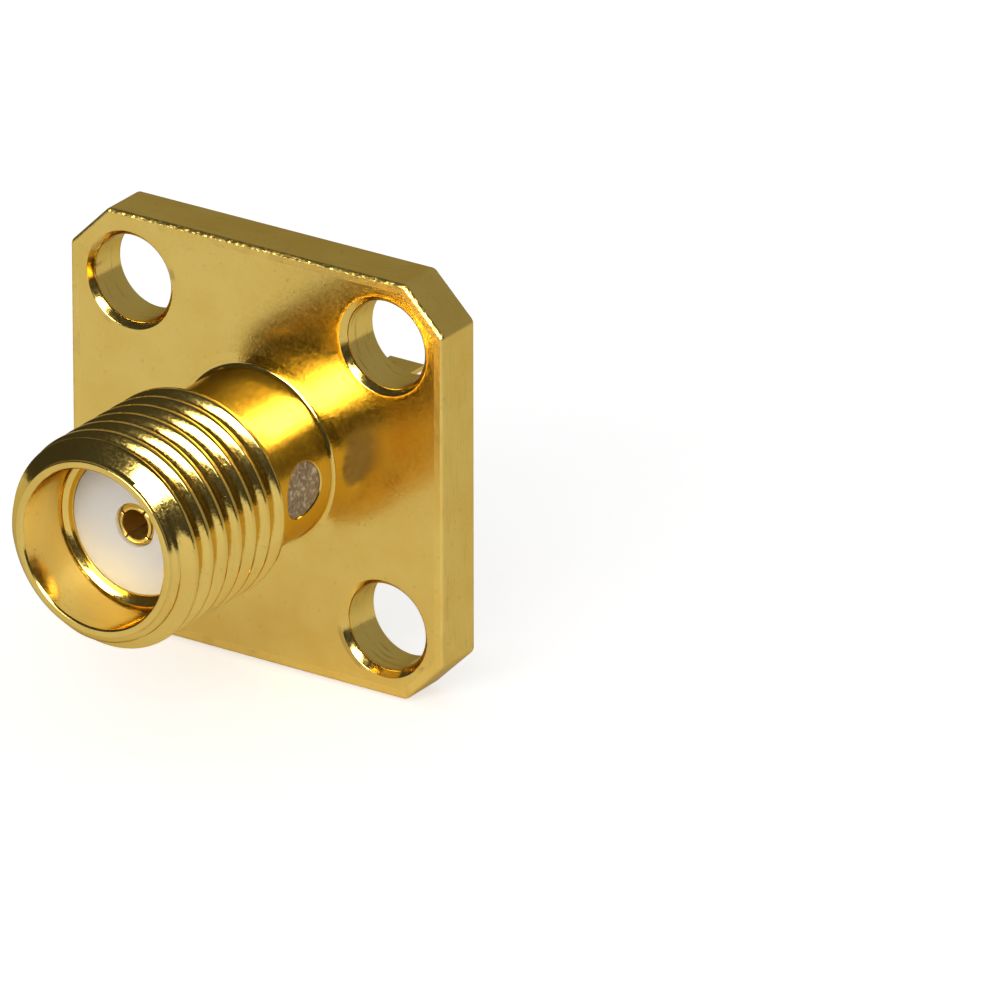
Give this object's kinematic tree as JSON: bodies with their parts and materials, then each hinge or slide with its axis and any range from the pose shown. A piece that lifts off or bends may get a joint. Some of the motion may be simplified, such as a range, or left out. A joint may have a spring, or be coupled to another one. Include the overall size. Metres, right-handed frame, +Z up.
{
  "type": "sma connector",
  "caption": "Gold-plated SMA jack for panels: square flange with screw holes, threaded barrel, white insulator that reaches through the panel, and a flat solder tab.",
  "frame": {"origin": "centre of the flange's rear face, on the connector's axis and in the middle of the four screw holes", "axes": "the mating end points along -Y, the insulator and the solder tab along +Y, and +Z is up; the flange's sides lie along X and Z"},
  "size_m": [0.0126, 0.0156, 0.0126],
  "materials": {
    "gold_plated_body": "satin gold plating on turned brass",
    "white_ptfe": "waxy white PTFE",
    "gold_plated_contact": "gold plating on spring bronze",
    "epoxy": "dull grainy grey-brown epoxy"
  },
  "bodies": {
    "root": {"body": "gold_plated_body", "insulator": "white_ptfe", "centre_contact": "gold_plated_contact", "epoxy_plug": "epoxy"}
  },
  "joints": []
}
